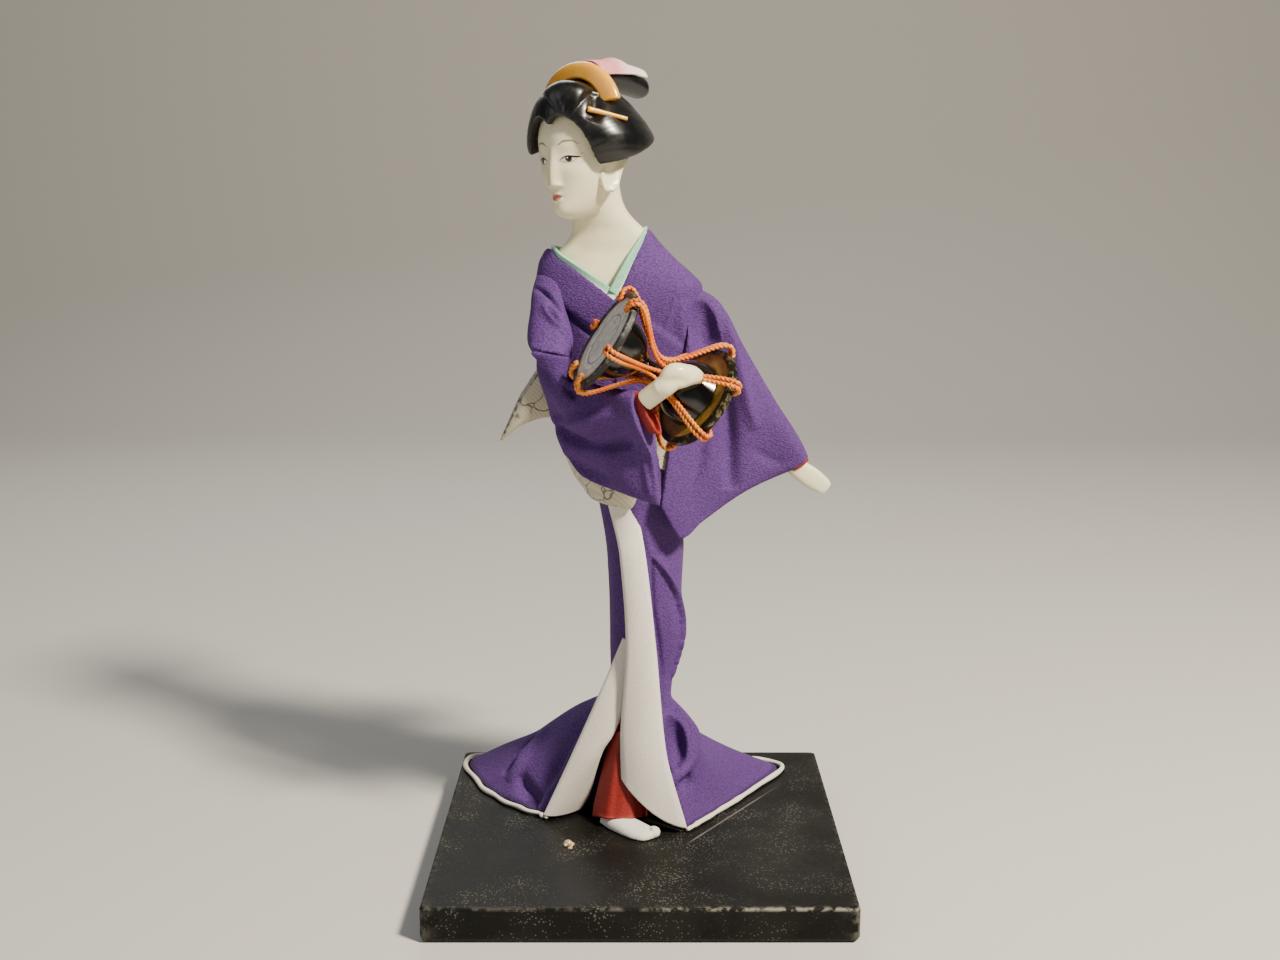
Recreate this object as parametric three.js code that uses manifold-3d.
// A small cloth-dressed dancing doll with a hand drum, standing on a square lacquered plinth.
// Millimetres, +Z up. The origin is the middle of the plinth's underside, the doll looks
// towards -Y, and +X is to the right of somebody who stands in front of it.
import * as THREE from 'three';
import { mergeVertices } from 'three/addons/utils/BufferGeometryUtils.js';
import Module from 'manifold-3d';

const wasm = await Module();
wasm.setup();

// Driving dimensions
const gap = 0.3;                 // play left between pieces that touch
const plinthSide = 140;
const plinthHeight = 12;
const floor = plinthHeight + gap;  // everything that stands on the plinth starts here
const bodyX = 1;                 // the middle line of the hips and the narrow skirt
const bodyY = 16;
const waistHeight = 134;         // where skirt and bodice meet, under the sash
const sashBottom = 125;
const sashTop = 158;
const clothThickness = 1.4;
const hemRoll = 0.9;             // radius of the padded roll round the hem

const headCentre = new THREE.Vector3(-19.2, 7, 248.3);
const headTurn = 40;             // degrees that the face is turned towards -X
const headLean = 4;              // degrees that the crown leans the same way

const drumCentre = new THREE.Vector3(3.9, -23, 177.9);
const drumAxis = new THREE.Vector3(-0.818, -0.204, 0.538).normalize();
const drumRearAxis = new THREE.Vector3(-0.735, -0.421, 0.531).normalize();  // the rear head sits askew
const drumHeadRadius = 17.6;
const drumHeadThickness = 2.4;
const drumLength = 36.2;         // from the middle of one head to the middle of the other
const drumWaistRadius = 2.4;
const drumCupRadius = 11.2;
const cordRadius = 0.8;
const cordWaist = -1;            // where along the drum the cords come closest to its axis
const cordWaistRadius = 4.9;     // how close they come
const cordHoles = 6;
const cordPhase = 40;            // degrees from the drum's upper side to the first hole

// Small tools for curves and rings
const degree = Math.PI / 180;
const { lerp, clamp, smoothstep } = THREE.MathUtils;
const at = (x, y, z) => new THREE.Vector3(x, y, z);

/** A smooth value against place, through stops given as [place, value], with no overshoot. */
function track(...stops) {
  const last = stops.length - 1;
  const rise = (i) => (stops[i + 1][1] - stops[i][1]) / (stops[i + 1][0] - stops[i][0]);
  const slopes = stops.map((stop, i) => {
    if (i === 0) return rise(0);
    if (i === last) return rise(last - 1);
    const before = rise(i - 1);
    const after = rise(i);
    return before * after <= 0 ? 0 : (2 * before * after) / (before + after);
  });
  return (place) => {
    const x = clamp(place, stops[0][0], stops[last][0]);
    let i = 0;
    while (i < last - 1 && x > stops[i + 1][0]) i += 1;
    const span = stops[i + 1][0] - stops[i][0];
    const t = (x - stops[i][0]) / span;
    const square = t * t;
    const cube = square * t;
    return (2 * cube - 3 * square + 1) * stops[i][1] + (cube - 2 * square + t) * span * slopes[i]
      + (3 * square - 2 * cube) * stops[i + 1][1] + (cube - square) * span * slopes[i + 1];
  };
}

/** Three tracks in one: a point against place, through stops given as [place, x, y, z]. */
function route(...stops) {
  const axes = [1, 2, 3].map((axis) => track(...stops.map((stop) => [stop[0], stop[axis]])));
  return (place) => at(axes[0](place), axes[1](place), axes[2](place));
}

/** count + 1 even steps from first to last. */
function steps(first, last, count) {
  return Array.from({ length: count + 1 }, (_, i) => lerp(first, last, i / count));
}

/** A ring of points round a middle, as a rounded oval whose sides get flatter with power. */
function oval(middle, across, up, count, power = 2) {
  return Array.from({ length: count }, (_, i) => {
    const turn = (i / count) * 2 * Math.PI;
    const c = Math.cos(turn);
    const s = Math.sin(turn);
    return middle.clone()
      .addScaledVector(across, Math.sign(c) * Math.abs(c) ** (2 / power))
      .addScaledVector(up, Math.sign(s) * Math.abs(s) ** (2 / power));
  });
}

/** Six times the volume inside the faces, positive when they point outwards. */
function signedVolume(points, faces) {
  let sum = 0;
  for (let i = 0; i < faces.length; i += 3) {
    const [a, b, c] = [faces[i], faces[i + 1], faces[i + 2]].map((k) => points[k]);
    sum += a.dot(b.clone().cross(c));
  }
  return sum;
}

/** A geometry from points and faces, turned so that its faces point outwards. */
function closedGeometry(points, faces) {
  if (signedVolume(points, faces) < 0) faces.reverse();
  const geometry = new THREE.BufferGeometry().setFromPoints(points);
  geometry.setIndex(faces);
  return geometry;
}

/** A closed skin through a row of rings: a fan over each end, or the last ring tied to the first. */
function loft(rings, endless = false) {
  const count = rings[0].length;
  const points = rings.flat();
  const faces = [];
  for (let row = 0; row < rings.length - (endless ? 0 : 1); row += 1) {
    const above = ((row + 1) % rings.length) * count;
    for (let i = 0; i < count; i += 1) {
      const next = (i + 1) % count;
      const a = row * count;
      faces.push(a + i, a + next, above + next, a + i, above + next, above + i);
    }
  }
  (endless ? [] : [0, rings.length - 1]).forEach((row) => {
    const middle = rings[row].reduce((sum, p) => sum.add(p), at(0, 0, 0)).divideScalar(count);
    points.push(middle);
    for (let i = 0; i < count; i += 1) {
      const a = row * count + i;
      const b = row * count + ((i + 1) % count);
      faces.push(points.length - 1, ...(row === 0 ? [b, a] : [a, b]));
    }
  });
  return closedGeometry(points, faces);
}

/** A sheet of cloth of even thickness round a grid of points, rows of equal length. */
function sheet(grid, thickness) {
  const rows = grid.length;
  const columns = grid[0].length;
  const near = (i, size) => clamp(i, 0, size - 1);
  const normal = (r, c) => {
    const along = grid[near(r + 1, rows)][c].clone().sub(grid[near(r - 1, rows)][c]);
    const across = grid[r][near(c + 1, columns)].clone().sub(grid[r][near(c - 1, columns)]);
    return along.cross(across).normalize();
  };
  const side = (sign) => grid.flatMap((row, r) => row.map((p, c) => (
    p.clone().addScaledVector(normal(r, c), (sign * thickness) / 2))));
  const points = [...side(1), ...side(-1)];
  const half = rows * columns;
  const faces = [];
  const quad = (a, b, c, d) => faces.push(a, b, c, a, c, d);
  for (let r = 0; r < rows - 1; r += 1) {
    for (let c = 0; c < columns - 1; c += 1) {
      const a = r * columns + c;
      const b = a + columns;
      quad(a, b, b + 1, a + 1);
      quad(half + a, half + a + 1, half + b + 1, half + b);
    }
  }
  const edge = [];
  for (let c = 0; c < columns - 1; c += 1) edge.push(c);
  for (let r = 0; r < rows - 1; r += 1) edge.push(r * columns + columns - 1);
  for (let c = columns - 1; c > 0; c -= 1) edge.push((rows - 1) * columns + c);
  for (let r = rows - 1; r > 0; r -= 1) edge.push(r * columns);
  edge.forEach((a, i) => {
    const b = edge[(i + 1) % edge.length];
    quad(a, b, half + b, half + a);
  });
  return closedGeometry(points, faces);
}

/** A bar of round section along a line of points. */
function bar(points, radius, sides) {
  const size = (i) => (typeof radius === 'function' ? radius(i / (points.length - 1)) : radius);
  const last = points.length - 1;
  let across = null;
  return loft(points.map((p, i) => {
    const along = points[Math.min(i + 1, last)].clone().sub(points[Math.max(i - 1, 0)]).normalize();
    if (!across) across = at(0.3, 0.5, 0.8).cross(along).normalize();
    across = across.clone().addScaledVector(along, -across.dot(along)).normalize();
    const up = along.clone().cross(across);
    return oval(p, across.clone().multiplyScalar(size(i)), up.multiplyScalar(size(i)), sides);
  }));
}

/** Points merged and bare of all but their places, as joins and cuts need them. */
function bare(geometry) {
  const plain = geometry.clone();
  plain.deleteAttribute('normal');
  plain.deleteAttribute('uv');
  return mergeVertices(plain, 1e-4);
}

/** The solid inside a closed geometry. */
function solid(geometry) {
  const merged = bare(geometry);
  return new wasm.Manifold(new wasm.Mesh({
    numProp: 3,
    vertProperties: new Float32Array(merged.attributes.position.array),
    triVerts: new Uint32Array(merged.index.array),
  }));
}

/** The same form a little larger all over, to cut a neighbour that it touches. */
function swollen(form, by = gap) {
  const mesh = form.getMesh();
  const geometry = new THREE.BufferGeometry();
  geometry.setAttribute('position', new THREE.BufferAttribute(mesh.vertProperties.slice(), 3));
  geometry.setIndex(Array.from(mesh.triVerts));
  geometry.computeVertexNormals();
  const place = geometry.attributes.position;
  const normal = geometry.attributes.normal;
  for (let i = 0; i < place.count; i += 1) {
    place.setXYZ(i, place.getX(i) + normal.getX(i) * by, place.getY(i) + normal.getY(i) * by,
      place.getZ(i) + normal.getZ(i) * by);
  }
  return solid(geometry);
}

/** The form less each neighbour with its play, and without the crumbs that a cut leaves. */
function clearOf(form, ...neighbours) {
  const play = 0.4;
  const cut = neighbours.reduce((rest, other) => rest.subtract(swollen(other, play)), form);
  return cut.decompose().sort((a, b) => b.volume() - a.volume())[0];
}

/** Several forms joined to one. */
const joined = (...forms) => forms.reduce((all, form) => all.add(form));

/** The bounding slab between two heights, wide enough for the whole doll. */
function between(bottom, top) {
  const box = new THREE.BoxGeometry(400, 400, top - bottom);
  box.translate(0, 0, (top + bottom) / 2);
  return solid(box);
}

// Plinth

/** A square board with a fine chamfer above and softer lower corners. */
function makePlinth() {
  const chamfer = 0.5;
  const softEdge = 1.6;
  const half = plinthSide / 2;
  const level = (inset, z) => [[-1, -1], [1, -1], [1, 1], [-1, 1]].flatMap(([sx, sy]) => {
    const cut = 0.8;
    const corner = at(sx * (half - inset), sy * (half - inset), z);
    const first = corner.clone().add(at(-sx * cut, 0, 0));
    const second = corner.clone().add(at(0, -sy * cut, 0));
    return sx * sy > 0 ? [second, first] : [first, second];
  });
  return solid(loft([level(softEdge, 0), level(softEdge * 0.3, softEdge * 0.3), level(0, softEdge),
    level(0, plinthHeight - chamfer), level(chamfer, plinthHeight)]));
}

// Skirt: a narrow tube that flares to five corners on the plinth

const tubeHalfWidth = track([40, 9.5], [60, 11], [90, 12.4], [105, 13.4], [128, 15], [134, 15.4]);
const tubeShift = track([40, -1.2], [60, -0.4], [90, 0.6], [105, 0.9], [128, -1], [134, -2]);
const tubeHalfDepth = 12.2;

/** One named corner of the hem: its place, where its ridge meets the tube, and its flare. */
const hemCorners = [
  { x: 16.6, y: -10.4, bearing: 258, start: waistHeight, power: 1, sharp: true },
  { x: 19.5, y: -6.4, bearing: 276, start: 60, power: 1.1 },
  { x: 29.5, y: 8, bearing: 318, start: 52, power: 0.8 },
  { x: 42, y: 27, bearing: 345, start: 45, power: 0.95 },
  { x: 55, y: 53, bearing: 392, start: 46, power: 1.3 },
  { x: 28, y: 61, bearing: 425, start: 58, power: 1.3 },
  { x: -6, y: 57, bearing: 450, start: 72, power: 1.5 },
  { x: -40, y: 64, bearing: 478, start: 54, power: 1.2 },
  { x: -67.5, y: 60, bearing: 508, start: 54, power: 1 },
  { x: -60, y: 31, bearing: 530, start: 52, power: 1 },
  { x: -47, y: 12.5, bearing: 558, start: 46, power: 1 },
  { x: -34.2, y: 2.4, bearing: 592, start: 80, power: 1, sharp: true },
  { x: -17, y: 15, bearing: 600, start: 76, power: 1.2 },
  { x: -2, y: 18, bearing: 607, start: 74, power: 1 },
  { x: 7, y: 4, bearing: 613, start: 80, power: 1 },
];
const hemPerSpan = 2;

/** The corners with in-between places on a smooth closed line, kept sharp where they are. */
const hemStations = hemCorners.flatMap((corner, i) => {
  const size = hemCorners.length;
  const next = hemCorners[(i + 1) % size];
  const before = hemCorners[(i + size - 1) % size];
  const after = hemCorners[(i + 2) % size];
  const nextBearing = i === size - 1 ? next.bearing + 360 : next.bearing;
  const pull = (p, q, r) => (q.sharp ? 0 : (r - p) / 2);
  return steps(0, 1, hemPerSpan).slice(0, -1).map((t) => {
    const bend = (key) => {
      const m0 = corner.sharp ? (next[key] - corner[key]) : pull(before[key], corner, next[key]);
      const m1 = next.sharp ? (next[key] - corner[key]) : pull(corner[key], next, after[key]);
      return (2 * t ** 3 - 3 * t ** 2 + 1) * corner[key] + (t ** 3 - 2 * t ** 2 + t) * m0
        + (3 * t ** 2 - 2 * t ** 3) * next[key] + (t ** 3 - t ** 2) * m1;
    };
    return {
      x: bend('x'),
      y: bend('y'),
      bearing: lerp(corner.bearing, nextBearing, t),
      start: lerp(corner.start, next.start, t),
      power: lerp(corner.power, next.power, t),
    };
  });
});

/** A hollow or bulge of the skirt, round a bearing and a height. */
function dent(bearing, z, centre, height, spread, tall, depth) {
  const turn = ((bearing - centre + 540) % 360) - 180;
  return depth * Math.exp(-((turn / spread) ** 2) - (((z - height) / tall) ** 2));
}

/** How far folds push the skirt out at a bearing and height. */
function skirtFolds(bearing, z) {
  return dent(bearing, z, 335, 80, 30, 13, 2.6)      // the leaf-shaped overlap on the right
    + dent(bearing, z, 322, 43, 24, 11, 5)           // the crest that carries the pocket's fold
    + dent(bearing, z, 298, 35, 22, 9, 3)            // and its lower end
    + dent(bearing, z, 508, 46, 34, 8, 3)            // the swell at the top of the left flare
    + dent(bearing, z, 516, 30, 16, 5, -2.4)         // the valley across it
    + dent(bearing, z, 566, 24, 12, 9, -4)           // the hollow beside the left panel
    + 0.6 * Math.sin(bearing * degree * 7) * smoothstep(z, 40, 70) * smoothstep(128 - z, 0, 30)
      * (Math.cos((bearing - 90) * degree) > 0 ? 1 : 0.4);
}

/** A point of the skirt's outside, for a station of the hem and a height. */
function skirtPoint(station, z) {
  const turn = station.bearing * degree;
  const halfWidth = tubeHalfWidth(z);
  const tube = at(bodyX + tubeShift(z) + halfWidth * Math.cos(turn),
    bodyY + tubeHalfDepth * Math.sin(turn), z);
  const fall = clamp((station.start - z) / (station.start - floor), 0, 1);
  const opensAtWaist = station.start > 100;
  const flare = opensAtWaist ? 0.75 * fall + 0.25 * fall ** 6 : fall ** station.power;
  const point = tube.lerp(at(station.x, station.y, z), flare);
  const out = at(point.x - bodyX, point.y - bodyY, 0).normalize();
  return point.addScaledVector(out, skirtFolds(station.bearing, z));
}

const skirtLevels = [floor, 16, 21, 26, 32, 38, 44, 50, 58, 68, 82, 104, waistHeight - gap];

/** A rounded hollow to be cut, from its middle, its three half sizes and its lean. */
function makeHollow(middle, halfWidth, halfDepth, halfHeight, lean) {
  const hollow = new THREE.SphereGeometry(1, 9, 6);
  hollow.scale(halfWidth, halfDepth, halfHeight);
  hollow.rotateY(lean * degree);
  hollow.translate(middle.x, middle.y, middle.z);
  return solid(hollow);
}

/** The skirt with its two pockets beside the right panel and the rolled fold round them. */
function makeSkirtForm() {
  const body = solid(loft(skirtLevels.map((z) => hemStations.map((station) => skirtPoint(station, z)))))
    .subtract(makeHollow(at(13.6, 0.4, 42.8), 4, 8, 9, -6))
    .subtract(makeHollow(at(16.8, -4.6, 27.6), 3.4, 6.4, 4.6, 24));
  const foldLine = [at(8.6, 12.6, 55), at(12.6, 10.4, 51), at(16.6, 8.6, 46.4), at(19.4, 6.6, 41.6),
    at(19.4, 4.2, 36.6), at(16.4, 0.4, 32.6), at(12.6, -4.4, 30.4), at(9.6, -6.4, 29.6)];
  return body.add(solid(bar(foldLine, (t) => 1.2 + 1.3 * Math.sin(Math.PI * t) ** 0.5, 8)));
}

/** The padded roll that runs round the hem, from the right front corner to the left one. */
function makeHemRoll() {
  const first = 0;
  const last = 11 * hemPerSpan;
  const line = hemStations.slice(first, last + 1)
    .map((station) => at(station.x, station.y, floor + hemRoll));
  return solid(bar(line, (t) => hemRoll * (1 - 0.35 * Math.abs(2 * t - 1) ** 6), 6));
}

// Lining panels: the turned-back fronts of the kimono

/** A panel between a left and a right edge, both routes from its top (0) to its foot (1). */
function makePanel(leftEdge, rightEdge, bulge, footDrop, rows, columns) {
  const grid = steps(0, 1, rows).map((s) => steps(0, 1, columns).map((t) => {
    const arch = 4 * t * (1 - t);
    const p = leftEdge(s).lerp(rightEdge(s), t);
    return p.add(at(0, -bulge(s) * arch, -footDrop * smoothstep(s, 0.8, 1) * arch));
  }));
  return solid(sheet(grid, clothThickness)).intersect(between(floor, 200));
}

function makeRightPanel() {
  const leftEdge = route([0, -12, 7, 130], [0.07, -10.6, 6.6, 124.6], [0.2, -7, 1.9, 109],
    [0.5, -4.9, -1, 77], [0.8, -6.9, -3.6, 44], [1, -6.6, -5, 30]);
  const rightEdge = route([0, -2.4, 5.4, 130], [0.07, -1, 5, 124.6], [0.2, 2, 0.8, 109],
    [0.5, 5.6, -2.4, 77], [0.8, 9, -6.6, 42], [1, 16.6, -11.2, floor + 1.6]);
  return makePanel(leftEdge, rightEdge, track([0, 0.8], [0.5, 1.4], [1, 1.8]), 3.2, 12, 3);
}

function makeLeftPanel() {
  const leftEdge = route([0, -6, 4.4, 79], [0.3, -14.2, 3.2, 59.5], [0.65, -24.6, 2, 36],
    [1, -34.8, 0.8, floor + 1.6]);
  const rightEdge = route([0, -1, 3, 77], [0.3, -4.4, 0.8, 59], [0.5, -9, -0.8, 45.6],
    [0.65, -13.2, 0.2, 38.4], [0.8, -16, 3.2, 29], [0.92, -18, 7, 20], [1, -20.8, 9.4, floor + 1.4]);
  return makePanel(leftEdge, rightEdge, track([0, 0.4], [1, 1.8]), 0.6, 8, 3);
}

/** The red under-skirt, a narrow sleeve of cloth round the forward leg. */
function makeUnderSkirt() {
  const halfWidth = track([14.6, 10], [24, 8.6], [46, 5.4]);
  const halfDepth = track([14.6, 10.6], [24, 9.4], [46, 8.4]);
  const levels = [14.8, 18, 30, 46];
  return solid(loft(levels.map((z) => oval(at(lerp(-7.2, -4, (z - 16) / 36), 3.6 + (z - 16) * 0.1, z),
    at(halfWidth(z), 0, 0), at(0, halfDepth(z), 0), 16).map((p, i) => {
    const ripple = 0.5 * Math.sin(i * 2.3);
    const hang = z < 15 ? clamp(0.28 * (p.y + 3), -0.1, 2.2) : 0;
    return p.add(at(0, p.y < 5 ? ripple : 0, -hang));
  }))));
}

/** The foot in its split-toed sock, sole flat on the plinth. */
function makeFoot() {
  const heel = at(-12, 0, floor);
  const toe = at(4.8, -17, floor);
  const along = toe.clone().sub(heel);
  const side = at(-along.y, along.x, 0).normalize();
  const halfWidth = track([0, 3.4], [0.3, 5], [0.7, 5.8], [0.92, 4.6], [1, 2]);
  const height = track([0, 6], [0.3, 5.2], [0.45, 4.5], [0.7, 4.1], [0.92, 3.2], [1, 1.8]);
  const body = loft(steps(0, 1, 7).map((s) => {
    const middle = heel.clone().addScaledVector(along, s);
    return oval(middle, side.clone().multiplyScalar(halfWidth(s)), at(0, 0, height(s)), 12, 2.4)
      .map((p) => at(p.x, p.y, Math.max(p.z, floor)));
  }));
  return solid(body);
}

// Sash and the tied knot behind

const waistHalfWidth = track([120, 15], [128, 15.8], [136, 18.6], [146, 20.9], [156, 21.6], [170, 23.4]);
const waistShift = track([120, -0.6], [128, -1.2], [136, -3.4], [146, -5.1], [156, -5.8], [170, -6.8]);
const waistSides = 20;

/** The outline of the bound waist at a height, a little larger by grow. */
function waistRing(z, grow, count) {
  return oval(at(bodyX + waistShift(z), bodyY, z), at(waistHalfWidth(z) + grow, 0, 0),
    at(0, tubeHalfDepth + 0.4 + grow, 0), count, 2.2);
}

/** The sash, higher on the doll's right, and tucked up in front where the arms meet it. */
function makeSashForm() {
  const ring = (z, grow) => waistRing(z, grow, waistSides).map((p, i) => {
    const lift = 0.16 * (bodyX - p.x) * (p.y < bodyY ? 1 : 0.4);
    const tuck = 16 * smoothstep(p.x, -4, 6) * clamp((147 - z) / 22, 0, 1) * (p.y < bodyY ? 1 : 0);
    return waistRing(z + lift + tuck, grow, waistSides)[i];
  });
  const outside = solid(loft([[sashBottom, 1.7], [sashBottom + 1, 2.3], [136, 2.5], [147, 2.5],
    [sashTop - 1, 2.3], [sashTop, 1.7]].map(([z, grow]) => ring(z, grow))));
  const inside = solid(loft([sashBottom - 8, 130, waistHeight, 144, 155, sashTop + 8]
    .map((z) => waistRing(z, 2 * gap, waistSides))));
  return outside.subtract(inside);
}

const knotMiddle = at(-8, 34.4, 158);
const knotTurn = 18;              // degrees that the bow is turned, as the back behind it is

/** One drooping wing of the bow, between its upper and its lower fold, out to its tip. */
function makeWing(mirror) {
  const upper = route([0, 0, 0, 9], [0.3, -13, -1.6, 15], [0.55, -25, -2, 18.4], [0.8, -35, -1, 7.6],
    [1, -43.4, 0.4, -9.8]);
  const lower = route([0, 0, 0, -8], [0.3, -13, -1.6, -6.6], [0.55, -26, -2.4, -3.2], [0.8, -36, -1.6, -5.6],
    [1, -44, 0.2, -11.8]);
  const thickness = track([0, 2.6], [0.4, 3.4], [0.8, 2.4], [1, 0.9]);
  return loft(steps(0, 1, 7).map((s) => {
    const tall = upper(s).sub(lower(s)).multiplyScalar(0.5);
    return oval(upper(s).sub(tall), tall, at(0, thickness(s), 0), 10, 2.3)
      .map((p) => at(p.x * mirror, p.y, p.z).applyAxisAngle(at(0, 0, 1), knotTurn * degree)
        .add(knotMiddle));
  }));
}

/** The bow at the back: two wings and the band that holds them together. */
function makeKnot() {
  const band = loft([-4.5, -3.4, 3.4, 4.5].map((x, i) => {
    const inset = i % 3 === 0 ? 1 : 0;
    return oval(at(x, 0, 0.5), at(0, 4.4 - inset, 0), at(0, 0, 10.6 - inset), 12, 3)
      .map((p) => p.applyAxisAngle(at(0, 0, 1), knotTurn * degree).add(knotMiddle));
  }));
  return joined(solid(makeWing(1)), solid(makeWing(-1)), solid(band));
}

// Bodice

const chestLeft = track([124, -14.5], [136, -19], [150, -24], [175, -30], [190, -33.5], [201, -36],
  [209.5, -35], [216, -31.8], [222, -29]);
const chestRight = track([124, 13], [136, 14.4], [150, 15.5], [175, 18.6], [190, 20.8], [202, 21.6],
  [206, 18.5], [211, 12.8], [217, 7], [222, 3]);
const chestFront = track([124, 12.2], [150, 12.6], [175, 13.2], [195, 13], [206, 11.4], [214, 9.5],
  [222, 8]);
const chestBack = track([124, 12.2], [150, 12.4], [180, 13.6], [200, 14], [212, 12.6], [222, 11]);
const chestMiddle = track([124, 16], [175, 15.4], [205, 14], [222, 15]);

/** The chest's outline at a height: its middle line and its four half sizes. */
function chestAt(z) {
  return {
    x: (chestLeft(z) + chestRight(z)) / 2,
    y: chestMiddle(z),
    halfWidth: (chestRight(z) - chestLeft(z)) / 2,
    front: chestFront(z),
    back: chestBack(z),
  };
}

const chestPower = 2.3;

/** How far forward the chest reaches at a place seen from the front. */
function chestFrontY(x, z) {
  const ring = chestAt(z);
  const across = clamp(Math.abs(x - ring.x) / ring.halfWidth, 0, 1);
  return ring.y - ring.front * (1 - across ** chestPower) ** (1 / chestPower);
}

// The neckline is a V seen from the front, from the left collar top to the right one.
const collarLeft = { x: -31.2, z: 215.4 };
const collarPoint = { x: -8, z: 198.6 };
const collarRight = { x: 2.6, z: 221.8 };
const collarBand = 13;            // width of the kimono's own collar band
const collarBandLift = 1.2;

/** Distance in the front view from a neckline edge, positive on the cloth's side. */
function awayFrom(edge, x, z) {
  const along = { x: edge.x - collarPoint.x, z: edge.z - collarPoint.z };
  const size = Math.hypot(along.x, along.z);
  const sign = edge === collarLeft ? -1 : 1;
  return (sign * (along.z * (x - collarPoint.x) - along.x * (z - collarPoint.z))) / size;
}

/** How much the collar band stands proud of the chest at a place in the front view. */
function bandLift(x, z) {
  const left = awayFrom(collarLeft, x, z);
  const right = awayFrom(collarRight, x, z);
  const step = (d) => collarBandLift * (1 - smoothstep(d, collarBand - 0.8, collarBand + 0.6));
  return Math.max(left > 0 ? step(left) : 0, right > 0 && x > collarPoint.x ? step(right) : 0);
}

/** The chest as a closed skin, larger by grow, with or without the collar band's relief. */
function chestForm(grow, levels, count, relief) {
  return loft(levels.map((z) => {
    if (z < sashTop + 3) return waistRing(z, grow, count);
    const ring = chestAt(z);
    return oval(at(ring.x, ring.y, z), at(ring.halfWidth + grow, 0, 0), at(0, 1, 0), count, chestPower)
      .map((p) => {
        const reach = p.y < ring.y ? ring.front + grow : ring.back + grow;
        const y = ring.y + (p.y - ring.y) * reach;
        const lift = relief && p.y < ring.y ? bandLift(p.x, z) : 0;
        return at(p.x, y - lift, z);
      });
  }));
}

const chestLevels = [waistHeight, 144, 155, 166, 176, 185, 193, 199, 204, 208, 212, 216.5, 221.5];

/** The V-shaped well in the bodice in which the chest, neck and collar sit. */
function neckWell(back, grow) {
  const shape = new THREE.Shape();
  shape.moveTo(collarLeft.x - grow, collarLeft.z + 0.01);
  shape.lineTo(collarPoint.x, collarPoint.z - grow);
  shape.lineTo(collarRight.x + grow, collarRight.z);
  shape.lineTo(collarRight.x + grow, 240);
  shape.lineTo(collarLeft.x - grow, 240);
  shape.closePath();
  const well = new THREE.ExtrudeGeometry(shape, { depth: 60 + back, bevelEnabled: false, steps: 1 });
  well.rotateX(Math.PI / 2);
  well.translate(0, back, 0);
  return solid(well);
}

/** The space above the collar line, which is higher on the doll's left and falls to the nape. */
function aboveCollar() {
  const rise = (collarRight.z - collarLeft.z) / (collarRight.x - collarLeft.x);
  return solid(loft([[-60, 0], [11, 0], [60, 11]].map(([y, fall]) => [
    at(-60, y, collarLeft.z + rise * (-60 - collarLeft.x) - fall), at(collarRight.x, y, collarRight.z - fall),
    at(collarRight.x, y, 240), at(-60, y, 240)])));
}

/** The hollow between the bodice and the left sleeve, below the shoulder. */
const makeArmhole = () => makeHollow(at(21.6, 3, 189.5), 5.2, 7.6, 12.5, -6);

// Head, neck and chest, moulded in one

/** A point given beside, before and above the head's middle, turned as the head is. */
function onHead(side, forward, up) {
  return at(side, -forward, up)
    .applyAxisAngle(at(0, 1, 0), -headLean * degree)
    .applyAxisAngle(at(0, 0, 1), -headTurn * degree)
    .add(headCentre);
}

const faceHalfWidth = track([-23, 0.4], [-21.6, 5], [-18, 8.6], [-12, 11.8], [-5, 13.7], [3, 14.4],
  [9, 13.6], [14, 10.8], [18, 6.4], [20, 1]);
const faceFront = track([-23, 8.4], [-21.6, 12], [-18, 13.9], [-12, 14.6], [-5, 15.2], [3, 15.3],
  [9, 13.8], [14, 10.4], [18, 5.6], [20, 1]);
const faceBack = track([-23, -7.6], [-21.6, -3.4], [-18, 1], [-12, 7.6], [-5, 12], [3, 14.6], [9, 14.2],
  [14, 11.4], [18, 6.4], [20, 1]);
const faceSides = 18;

/** The nose, a low narrow ridge that ends above the lips. */
function nose(side, up) {
  const ridge = track([-12.6, 0], [-11.6, 2.2], [-9.5, 2], [-4, 1], [1, 0]);
  return ridge(up) * Math.exp(-((side / 1.9) ** 2));
}

/** The egg of the head, with or without its nose, a little larger by grow. */
function makeHead(levels, count, grow, withNose) {
  return solid(loft(levels.map((up) => Array.from({ length: count }, (_, i) => {
    const turn = (i / count) * 2 * Math.PI;
    const c = Math.cos(turn);
    const s = Math.sin(turn);
    const side = (faceHalfWidth(up) + grow) * s;
    const forward = c > 0 ? c * (faceFront(up) + grow) : c * (faceBack(up) + grow);
    return onHead(side, forward + (withNose && c > 0.4 ? nose(side, up) : 0), up);
  }))));
}

const headLevels = [-22.8, -21.4, -18, -13.4, -11.8, -10, -5, 1, 8, 14.6, 19.4];
const skullLevels = [-12, -4, 3, 10, 16, 20];

/** The ear, a flat shell on the side of the head. */
function makeEar(sign) {
  const front = track([-14.8, 3.2], [-13.6, 4.9], [-9.9, 5.7], [-7.1, 4.4], [-5.2, 2.4], [-3.6, -2.2]);
  const back = track([-14.8, 1.8], [-12.3, -1.5], [-9.5, -3.2], [-6.6, -5.7], [-4.4, -7.6], [-3.6, -6.5]);
  const grid = steps(0, 1, 5).map((s) => steps(0, 1, 3).map((t) => {
    const up = lerp(-14.8, -3.6, s);
    return onHead(sign * (12.2 + 2 * t), lerp(front(up), back(up), t), up);
  }));
  return solid(sheet(grid, 1.5));
}

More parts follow.
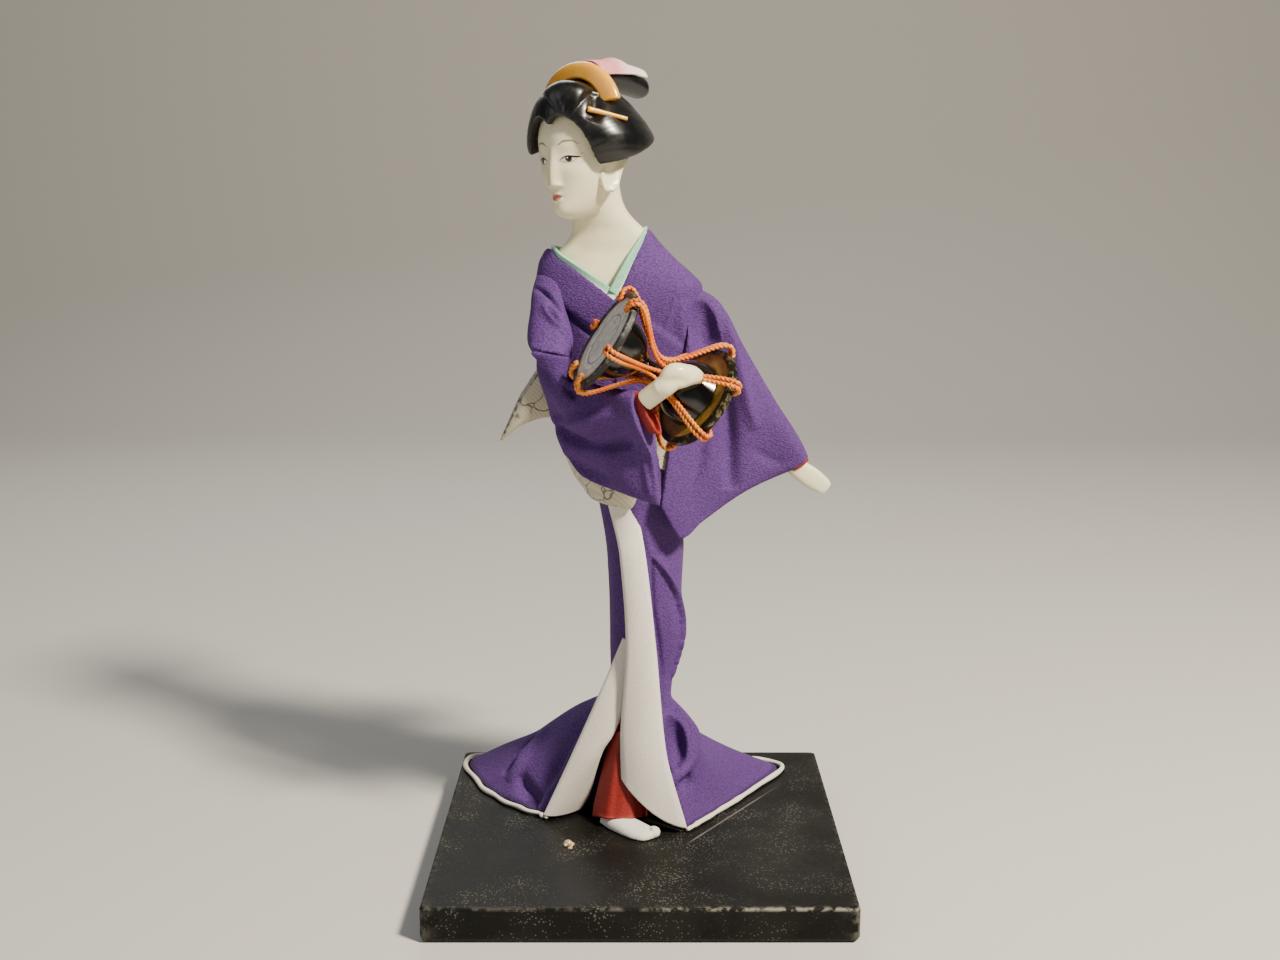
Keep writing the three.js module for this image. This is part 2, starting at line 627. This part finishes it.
const neckX = track([196, -11], [222, -13.4], [232, -15], [244, -15.8]);
const neckY = track([196, 12], [222, 11.4], [232, 9.6], [244, 8]);
const neckLeft = track([196, 21], [207, 20], [213, 16.5], [217, 12.6], [221, 10], [226, 9],
  [232, 8.6], [244, 8.6]);
const neckRight = track([196, 21], [207, 20.5], [215, 18.5], [220, 16.4], [223, 13.6], [226, 11.2],
  [230, 9.4], [236, 8.6], [244, 8.6]);
const neckFront = track([196, 8.8], [205, 7.5], [214, 6], [220, 6.2], [226, 7.4], [232, 8], [244, 8]);
const neckBack = track([196, 15], [207, 13.4], [215, 12], [222, 10], [230, 8.6], [244, 8]);

/** The throat and the top of the chest, as far down as the neckline shows them. */
function makeNeck() {
  const levels = [197, 208, 214.5, 220, 224.5, 230, 241];
  const sides = 16;
  return solid(loft(levels.map((z) => Array.from({ length: sides }, (_, i) => {
    const turn = (i / sides) * 2 * Math.PI;
    const c = Math.cos(turn);
    const s = Math.sin(turn);
    return at(neckX(z) + c * (c < 0 ? neckLeft(z) : neckRight(z)),
      neckY(z) + s * (s < 0 ? neckFront(z) : neckBack(z)), z);
  }))));
}

// Wig, comb, pin and the cloth on the topknot

const hairSide = track([-8, 17], [-2, 20.4], [2, 21], [7, 19.4], [11, 17], [15, 14.2], [19, 10],
  [23.4, 1.2]);
const hairBack = track([-8, 23], [-2, 27.4], [2, 28.6], [7, 26], [11, 22.4], [15, 18.4], [19, 12.6],
  [23.4, 1.2]);
const hairFront = track([-8, 13], [2, 15.6], [7, 16.8], [11, 17.2], [15, 16.4], [19, 13], [23.4, 1.2]);
const hairLevels = [-8, -2, 2, 6, 10, 14, 17.5, 20.5, 22.8];
const hairSides = 20;
const hairLift = 15.5;            // degrees that the underside of the hair rises to the back
const hairRoll = 11.3;            // degrees that it rises to the doll's right
const hairUnderside = -0.95;      // where the underside passes the middle of the head
const sideLockRadius = 3.4;

/** A geometry built beside, before and above the head's middle, set where the head is. */
function setOnHead(geometry) {
  geometry.rotateY(-headLean * degree);
  geometry.rotateZ(-headTurn * degree);
  geometry.translate(headCentre.x, headCentre.y, headCentre.z);
  return solid(geometry);
}

/** The cap of dressed hair, puffed at the sides and back, before the face is cut from it. */
function makeHairCap() {
  const cap = solid(loft(hairLevels.map((up) => Array.from({ length: hairSides }, (_, i) => {
    const turn = (i / hairSides) * 2 * Math.PI;
    const c = Math.cos(turn);
    const s = Math.sin(turn);
    return onHead(s * hairSide(up), c * (c > 0 ? hairFront(up) : hairBack(up)), up);
  }))));
  const below = new THREE.BoxGeometry(90, 120, 40);
  below.translate(0, 0, -20);
  below.rotateX(hairLift * degree);
  below.rotateY(hairRoll * degree);
  below.translate(0, 0, hairUnderside);
  const sideLocks = [-1, 1].map((sign) => {
    const lock = new THREE.SphereGeometry(sideLockRadius, 6, 5);
    lock.scale(0.55, 1.1, 1.5);
    lock.translate(sign * 12.2, -3.8, -1);
    return setOnHead(lock);
  });
  return joined(cap.subtract(setOnHead(below)), ...sideLocks);
}

/** The opening of the hair round the face: a heart-shaped outline pushed forward. */
function faceWindow() {
  const shape = new THREE.Shape();
  shape.moveTo(0, 7.2);
  shape.bezierCurveTo(1.4, 10.4, 4.6, 11, 7, 9.6);
  shape.bezierCurveTo(11, 7, 13.4, 3, 14, -5);
  shape.lineTo(15.5, -30);
  shape.lineTo(-15.5, -30);
  shape.lineTo(-14, -5);
  shape.bezierCurveTo(-13.4, 3, -11, 7, -7, 9.6);
  shape.bezierCurveTo(-4.6, 11, -1.4, 10.4, 0, 7.2);
  const window = new THREE.ExtrudeGeometry(shape, { depth: 40, bevelEnabled: false, curveSegments: 4 });
  window.rotateX(Math.PI / 2);
  window.translate(0, -1.5, 0);
  return setOnHead(window);
}

const topknotStart = onHead(0, 1, 23.2);
const topknotEnd = onHead(0.6, -33, 20.2);
const topknotWidth = track([0, 3.4], [0.15, 5.6], [0.6, 6], [0.9, 5], [1, 2.4]);
const topknotHeight = track([0, 2.6], [0.15, 4], [0.6, 4.4], [0.9, 3.8], [1, 2]);

/** A point of the topknot's skin, from its front (0) to its end (1), round it, and out from it. */
function onTopknot(s, turn, grow) {
  const along = topknotEnd.clone().sub(topknotStart).normalize();
  const side = along.clone().cross(at(0, 0, 1)).normalize();
  const up = side.clone().cross(along);
  return topknotStart.clone().lerp(topknotEnd, s)
    .addScaledVector(up, 2.4 * Math.sin(Math.PI * s) + (topknotHeight(s) + grow) * Math.cos(turn))
    .addScaledVector(side, (topknotWidth(s) + grow) * Math.sin(turn));
}

/** The topknot, a thick loop of hair that lies back over the crown. */
function makeTopknot() {
  return solid(loft(steps(0, 1, 6).map((s) => (
    steps(0, 2 * Math.PI, 9).slice(0, -1).map((turn) => onTopknot(s, turn, 0))))));
}

/** The cloth laid over the topknot from side to side. */
function makeTopknotCloth() {
  const thickness = 0.9;
  const reach = 1.5;
  return solid(sheet(steps(0.24, 0.8, 5).map((s) => (
    steps(-reach, reach, 6).map((turn) => onTopknot(s, turn, gap + thickness / 2 + 0.3)))), thickness));
}

/** The comb: a curved back of amber that stands across the crown before the topknot. */
function makeComb() {
  const outer = 16;
  const inner = 11;
  const halfDepth = 1.5;
  const crown = 12;
  const widen = 1.08;
  const roll = 10 * degree;       // it sits lower on the doll's left
  return solid(loft(steps(-64, 68, 12).map((turn) => {
    const s = Math.sin(turn * degree) * widen;
    const c = Math.cos(turn * degree);
    const place = (radius, forward) => onHead(1 + radius * (s * Math.cos(roll) + c * Math.sin(roll)), forward,
      crown + radius * (c * Math.cos(roll) - s * Math.sin(roll)));
    return [place(inner, halfDepth + 2.4), place(outer, halfDepth + 1.2), place(outer + 0.5, 1.2),
      place(outer, -halfDepth + 1.2), place(inner, -halfDepth)];
  })));
}

/** The pin, a thin rod whose end stands clear of the hair at the temple. */
function makePin() {
  const start = onHead(12.9, 10.9, 11.8);
  const end = onHead(20.4, 0.2, 8.2);
  return solid(bar([start, start.clone().lerp(end, 0.5), end], (t) => lerp(0.9, 0.6, t), 6));
}

// Under-collar: a folded band that follows the neckline

function makeUnderCollar() {
  const leftTop = at(collarLeft.x + 1.4, 13, collarLeft.z - 0.4);
  const rightTop = at(collarRight.x - 0.6, 13, collarRight.z - 0.4);
  const onFront = (edge, t) => {
    const x = lerp(collarPoint.x, edge.x, t);
    const z = lerp(collarPoint.z, edge.z, t);
    return at(x, chestFrontY(x, z) - 0.4, z + lerp(0.8, 0, t));
  };
  const back = at((collarLeft.x + collarRight.x) / 2, 27.2, 214.4);
  const line = [0, 0.3, 0.6, 0.85].map((t) => onFront(collarLeft, t))
    .concat([leftTop, at(collarLeft.x + 6, 23, 213.6), back, at(collarRight.x - 6, 23.5, 216.8), rightTop])
    .concat([0.85, 0.6, 0.3, 0.02].map((t) => onFront(collarRight, t)));
  const curve = new THREE.CatmullRomCurve3(line, false, 'centripetal');
  const middle = at(-13, 13, 0);
  const count = 20;
  const rings = curve.getPoints(count).map((p, i, all) => {
    const along = all[Math.min(i + 1, count)].clone().sub(all[Math.max(i - 1, 0)]).normalize();
    const out = at(p.x - middle.x, p.y - middle.y, 0).normalize();
    const place = (2 * i) / count - 1;
    const halfWidth = 1 + (place < 0 ? 0.5 : 0.9) * Math.abs(place);
    const wide = along.clone().cross(out).normalize().multiplyScalar(halfWidth);
    const thin = wide.clone().cross(along).normalize().multiplyScalar(0.7);
    return oval(p, wide, thin, 6, 3);
  });
  const half = count / 2;        // the two fronts cross at the point of the V
  return joined(solid(loft(rings.slice(0, half + 1))), solid(loft(rings.slice(half))));
}

// Sleeves

/**
 * A hanging sleeve: tall rings between an upper and a lower edge, thick where the arm is. The
 * opening's edge bulges by bow.
 */
function hangingSleeve(stations, upper, lower, armSize, clothSize, count, ripple, bow) {
  return loft(stations.map((s) => {
    const top = upper(s);
    const bottom = lower(s);
    const ahead = upper(Math.min(s + 0.02, 1)).sub(upper(Math.max(s - 0.02, 0)))
      .add(lower(Math.min(s + 0.02, 1)).sub(lower(Math.max(s - 0.02, 0))));
    const tall = top.clone().sub(bottom);
    const thin = tall.clone().cross(ahead).normalize();
    const way = ahead.normalize().multiplyScalar(bow * smoothstep(s, 0.7, 1));
    const middle = top.clone().add(bottom).multiplyScalar(0.5);
    return Array.from({ length: count }, (_, i) => {
      const turn = (i / count) * 2 * Math.PI;
      const high = Math.cos(turn);
      const face = Math.sin(turn);
      const size = lerp(clothSize(s), armSize(s), smoothstep(high, -0.2, 0.7));
      const reach = Math.sign(face) * Math.abs(face) ** 0.75 * size;
      return middle.clone().addScaledVector(tall, high / 2).addScaledVector(way, 1 - high * high)
        .addScaledVector(thin, reach + ripple(s, high) * (Math.abs(face) > 0.3 ? 1 : 0));
    });
  }));
}

const rightSleeveUpper = route([0, -32.6, -1.5, 181.6], [0.12, -30.2, -5, 178.8], [0.35, -22, -12.6, 174],
  [0.7, -9.4, -22, 171.4], [1, -1.2, -29.4, 171.6]);
const rightSleeveLower = route([0, -28.8, -2, 165], [0.12, -26, -6.4, 149.6], [0.35, -19, -12.4, 139.8],
  [0.7, -6, -20.6, 136], [1, 6.8, -27, 132.8]);

/** The doll's right sleeve, on the bent arm that holds the drum. */
function makeRightSleeve() {
  const bag = hangingSleeve(steps(0, 1, 9), rightSleeveUpper, rightSleeveLower,
    track([0, 4.5], [0.3, 6.2], [1, 5.4]), track([0, 3], [0.4, 2.6], [1, 1.7]), 16,
    (s, high) => 0.9 * Math.sin(9 * s + 3 * high) * smoothstep(s, 0.1, 0.3), 2);
  const upperArm = loft([[-24, 13.5, 211, 5], [-27.6, 10.6, 206, 7.6], [-29, 5.4, 197, 7.9],
    [-30.4, 0.2, 185, 7.8], [-28.8, -3, 179, 5.8], [-26, -6, 174, 4.6]]
    .map(([x, y, z, size]) => oval(at(x, y, z), at(size, 0, 0), at(0, size * 1.05, size * 0.25), 12, 2.2)));
  const flap = sheet(steps(0, 1, 3).map((s) => steps(0, 1, 3).map((t) => {
    const top = at(-37, -9.4, 181.6).lerp(at(-23.4, -12.8, 180.6), t);
    const end = at(-26.4, -13.6, 170.4);
    return top.lerp(end, s * 0.94).add(at(0, -1.4 * Math.sin(Math.PI * t) * (1 - s), 0));
  })), 2.6);
  return joined(solid(bag), solid(upperArm), solid(flap));
}

const leftSleeveUpper = route([0, 17, 12.5, 203], [0.12, 26.6, 13.5, 197.6], [0.3, 34.6, 13, 183.8],
  [0.65, 47.2, 13, 162.6], [0.9, 56.2, 13.5, 148.6], [1, 59.2, 14, 142.4]);
const leftSleeveLower = route([0, 7, -1.4, 127], [0.12, 14.4, 0.8, 115.4], [0.3, 22, 4.6, 120.8],
  [0.65, 37.6, 9.6, 131], [0.9, 48.4, 12.2, 135.8], [1, 52.6, 12.8, 137.6]);

/** The doll's left sleeve, on the arm stretched down to the side. */
function makeLeftSleeve() {
  const ripple = (s, high) => 1.1 * Math.sin(8 * s + 1.2 * high + 0.6)
    * smoothstep(s, 0.02, 0.2) * smoothstep(1 - s, 0.1, 0.4) * smoothstep(0.8 - high, 0, 0.8);
  return solid(hangingSleeve(steps(0, 1, 10), leftSleeveUpper, leftSleeveLower,
    track([0, 6.6], [0.15, 6], [0.6, 4.8], [0.92, 4.4], [1, 4.2]),
    track([0, 1.8], [0.5, 2.4], [0.85, 3.2], [1, 3.8]), 16, ripple, 0));
}

/** A ring of red cloth that shows at a wrist. */
function makeCuff(centre, along, across, up, length) {
  return solid(loft([-length, length * 0.6, length].map((step, i) => (
    oval(centre.clone().addScaledVector(along, step), across.clone().multiplyScalar(i === 2 ? 0.9 : 1),
      up.clone().multiplyScalar(i === 2 ? 0.95 : 1), 12, 2.2)))));
}

// Drum

/** A point of the drum: out from its axis, round it from its upper side, and along it. */
function onDrum(radius, turn, along) {
  const askew = smoothstep(-along, 5, drumLength / 2 - 3);
  const normal = drumAxis.clone().lerp(drumRearAxis, askew).normalize();
  const up = at(0, 0, 1).addScaledVector(normal, -normal.z).normalize();
  const fore = up.clone().cross(normal);
  return drumCentre.clone()
    .addScaledVector(up, radius * Math.cos(turn * degree))
    .addScaledVector(fore, radius * Math.sin(turn * degree))
    .addScaledVector(drumAxis, along);
}

/** A body of revolution round the drum's axis, from a profile of [radius, place along it]. */
function turned(profile, sides) {
  return solid(loft(profile.map(([radius, along]) => (
    Array.from({ length: sides }, (_, i) => onDrum(radius, (i / sides) * 360, along))))));
}

/** The two bowls and the waist between them, turned in one piece. */
function makeDrumShell() {
  const reach = drumLength / 2 - drumHeadThickness / 2 - gap;
  const half = [[0.16, drumWaistRadius], [0.25, 3.4], [0.36, 5.8], [0.5, 8.2], [0.72, 10.2], [1, drumCupRadius]];
  const place = (t, sign) => lerp(cordWaist, sign * reach, t);
  const profile = [...half.slice().reverse().map(([t, r]) => [r, place(t, -1)]),
    ...half.map(([t, r]) => [r, place(t, 1)])];
  return turned(profile, 16);
}

/** One of the two heads: skin on a lacquered ring. */
function makeDrumHead(sign) {
  const middle = (sign * drumLength) / 2;
  const half = drumHeadThickness / 2;
  return turned([[drumHeadRadius - 0.7, middle - half], [drumHeadRadius, middle - half + 0.7],
    [drumHeadRadius, middle + half - 0.7], [drumHeadRadius - 0.7, middle + half]], 24);
}

const cordRim = drumHeadRadius + cordRadius + gap;
const cordBehind = drumLength / 2 - drumHeadThickness / 2 - 1.2;

/** The cord's way in and out of one hole: up behind the rim, over it to the hole, and back. */
function cordTurn(turn, sign) {
  const face = drumLength / 2 + drumHeadThickness / 2 + cordRadius + gap;
  const hole = cordRim - 3.6;
  const apart = (radius) => ((cordRadius + 0.12) / radius / degree);
  const over = [[cordRim, cordBehind], [cordRim - 0.2, face - 0.2], [hole, face]];
  const way = (side, stops) => stops.map(([radius, along]) => (
    onDrum(radius, turn + side * apart(radius), sign * along)));
  return [...way(-1, over), ...way(1, over.slice().reverse())];
}

/** The lacing, one endless line wound from head to head and drawn in to the drum's waist. */
function makeCords() {
  const pitch = 360 / cordHoles;
  const line = [];
  for (let hole = 0; hole < cordHoles; hole += 1) {
    const front = cordPhase + hole * pitch;
    line.push(...cordTurn(front, 1), onDrum(cordWaistRadius, front + pitch / 4, cordWaist),
      ...cordTurn(front + pitch / 2, -1), onDrum(cordWaistRadius, front + (3 * pitch) / 4, cordWaist));
  }
  const near = (i) => line[(i + line.length) % line.length];
  return solid(loft(line.map((p, i) => {
    const along = near(i + 1).clone().sub(near(i - 1)).normalize();
    const round = drumAxis.clone().cross(p.clone().sub(drumCentre));
    const across = round.addScaledVector(along, -round.dot(along)).normalize();
    const up = along.clone().cross(across);
    return oval(p, across.multiplyScalar(cordRadius), up.multiplyScalar(cordRadius), 5);
  }), true));
}

/** The space that the bundle of cords takes, to keep the hand out of it. */
function cordSpace() {
  const waist = cordWaistRadius + cordRadius + 2 * gap;
  const reach = drumLength / 2 - drumHeadThickness;
  return turned([[cordRim + 2, reach], [waist, cordWaist + 0.6], [waist, cordWaist - 0.6],
    [cordRim + 2, -reach]], 16);
}

// Hands

/** The right hand, laid over the cords with its fingers closed round their far side. */
function makeRightHand() {
  const middle = route([0, 1.6, -31, 168.6], [0.2, 5.4, -33, 171.8], [0.4, 8.3, -34.5, 174.2],
    [0.6, 11.4, -34.2, 177], [0.8, 15.6, -32, 177], [1, 19.6, -27, 175.4]);
  const halfTall = track([0, 3.4], [0.2, 3.4], [0.4, 3.6], [0.6, 4.3], [0.8, 3.4], [1, 1.8]);
  const halfThick = track([0, 3.2], [0.3, 3.2], [0.6, 3.6], [0.85, 3.2], [1, 1.8]);
  return solid(loft(steps(0, 1, 8).map((s) => {
    const along = middle(Math.min(s + 0.05, 1)).sub(middle(Math.max(s - 0.05, 0))).normalize();
    const thick = at(0.15, -1, 0.1).addScaledVector(along, -at(0.15, -1, 0.1).dot(along)).normalize();
    const tall = thick.clone().cross(along).normalize();
    return oval(middle(s), tall.multiplyScalar(halfTall(s)), thick.multiplyScalar(halfThick(s)), 12, 2.4);
  })));
}

/** The left hand, flat, its fingers together and pointing down and out. */
function makeLeftHand() {
  const wrist = at(47.6, 13.2, 143.6);
  const tip = at(66.2, 13.6, 130.8);
  const along = tip.clone().sub(wrist).normalize();
  const thin = at(0, 1, 0);
  const wide = along.clone().cross(thin).normalize();
  const halfWidth = track([0, 2.8], [0.38, 3.3], [0.65, 3.8], [0.92, 3.1], [1, 2.2]);
  const halfThickness = track([0, 2.4], [0.35, 2.4], [0.7, 2], [1, 1.1]);
  return solid(loft(steps(0, 1, 7).map((s) => oval(wrist.clone().lerp(tip, s),
    wide.clone().multiplyScalar(halfWidth(s)), thin.clone().multiplyScalar(halfThickness(s)), 12, 2.6))));
}

// Put together, each piece cut clear of those that it touches
const aboveFloor = between(floor, 400);
const plinth = makePlinth();
const foot = makeFoot();
const underSkirt = clearOf(makeUnderSkirt(), foot).intersect(aboveFloor);
const rightPanel = clearOf(makeRightPanel(), foot, underSkirt);
const leftPanel = clearOf(makeLeftPanel(), rightPanel, underSkirt, foot);
const hemRollForm = clearOf(makeHemRoll(), rightPanel, leftPanel).intersect(aboveFloor);
const skirt = clearOf(makeSkirtForm(), hemRollForm, rightPanel, leftPanel, underSkirt, foot);

const chestSides = 22;
const collar = makeUnderCollar();
const neckStub = clearOf(makeNeck().intersect(solid(chestForm(-1.6, [195, 203, 212, 221], 20, false))
  .add(between(207, 250))).intersect(neckWell(21.6, -0.4)), collar);
const headForm = joined(makeHead(headLevels, faceSides, 0, true), neckStub, makeEar(1), makeEar(-1));
const rightSleeveForm = makeRightSleeve();
const bodiceForm = solid(chestForm(0, chestLevels, chestSides, true)).subtract(neckWell(22, 0))
  .subtract(aboveCollar());
const bodice = clearOf(bodiceForm.subtract(makeArmhole()), collar, rightSleeveForm);
const sash = clearOf(makeSashForm(), rightPanel);
const knot = clearOf(makeKnot(), bodice, sash);
const rightHand = clearOf(makeRightHand().subtract(cordSpace()));
const leftHand = makeLeftHand();
const rightCuffMiddle = at(2.2, -30, 164.4);
const rightForearm = at(0.8, -0.6, -0.1).normalize();
const rightCuffForm = makeCuff(rightCuffMiddle, rightForearm, at(1.4, 2.3, 0.4), at(-3.3, 0.6, 6.9), 2);
const rightCuff = clearOf(rightCuffForm, rightHand);
const leftForearm = at(0.82, 0, -0.57);
const leftCuff = clearOf(makeCuff(at(54.8, 13.3, 140.5), leftForearm, at(0, 3.4, 0), at(3.2, 0, 2.3), 2),
  leftHand);
const rightSleeve = clearOf(rightSleeveForm, rightCuffForm, rightHand, knot, collar, neckStub);
const leftSleeve = clearOf(makeLeftSleeve().subtract(makeArmhole()), bodice, sash, leftCuff, leftHand, knot);

const comb = makeComb();
const pin = makePin();
const skullSpace = makeHead(skullLevels, 14, 0.8, false);
const hairForm = joined(makeHairCap().subtract(faceWindow()), makeTopknot());
const wig = clearOf(hairForm.subtract(skullSpace), makeEar(1), makeEar(-1), comb, pin);
const topknotCloth = clearOf(makeTopknotCloth(), comb);

const drumShell = makeDrumShell();
const frontHead = makeDrumHead(1);
const rearHead = makeDrumHead(-1);
const cords = makeCords();

// Finishes
const finish = (color, roughness) => new THREE.MeshStandardMaterial({ color, roughness, metalness: 0 });
const blackLacquer = finish(0x14120f, 0.25);
const ivoryPaint = finish(0xede6c8, 0.3);
const purpleCrepe = finish(0x5d3a92, 0.9);
const paleLining = finish(0xd8cfc4, 0.85);
const creamRoll = finish(0xe6dfd0, 0.85);
const redSilk = finish(0xa3261f, 0.8);
const whiteCotton = finish(0xe8e6e0, 0.9);
const mintSilk = finish(0x9fd8b8, 0.7);
const sashBrocade = finish(0xb8b19c, 0.7);
const glossHair = finish(0x0e0e10, 0.2);
const amber = finish(0xe09a28, 0.25);
const pinkCrepe = finish(0xe08a90, 0.85);
const drumSkin = finish(0xb9b6a6, 0.6);
const orangeCord = finish(0xe8782a, 0.7);

/** A named mesh of a finished solid, with a hard edge between all its faces. */
function piece(name, form, material) {
  const mesh = form.getMesh();
  const geometry = new THREE.BufferGeometry();
  geometry.setAttribute('position', new THREE.BufferAttribute(mesh.vertProperties, 3));
  geometry.setIndex(new THREE.BufferAttribute(mesh.triVerts, 1));
  geometry.computeVertexNormals();
  const part = new THREE.Mesh(geometry, material);
  part.name = name;
  return part;
}

const doll = new THREE.Group();
doll.add(
  piece('plinth', plinth, blackLacquer),
  piece('foot', foot, whiteCotton),
  piece('under_skirt', underSkirt, redSilk),
  piece('right_lining_panel', rightPanel, paleLining),
  piece('left_lining_panel', leftPanel, paleLining),
  piece('hem_roll', hemRollForm, creamRoll),
  piece('kimono_skirt', skirt, purpleCrepe),
  piece('sash', sash, sashBrocade),
  piece('sash_knot', knot, sashBrocade),
  piece('kimono_bodice', bodice, purpleCrepe),
  piece('right_sleeve', rightSleeve, purpleCrepe),
  piece('left_sleeve', leftSleeve, purpleCrepe),
  piece('right_cuff', rightCuff, redSilk),
  piece('left_cuff', leftCuff, redSilk),
  piece('right_hand', rightHand, ivoryPaint),
  piece('left_hand', leftHand, ivoryPaint),
  piece('under_collar', collar, mintSilk),
  piece('head', headForm, ivoryPaint),
  piece('wig', wig, glossHair),
  piece('comb', comb, amber),
  piece('hairpin', pin, amber),
  piece('topknot_cloth', topknotCloth, pinkCrepe),
  piece('drum_shell', drumShell, blackLacquer),
  piece('drum_front_head', frontHead, drumSkin),
  piece('drum_rear_head', rearHead, drumSkin),
  piece('drum_cords', cords, orangeCord),
);

export default doll;
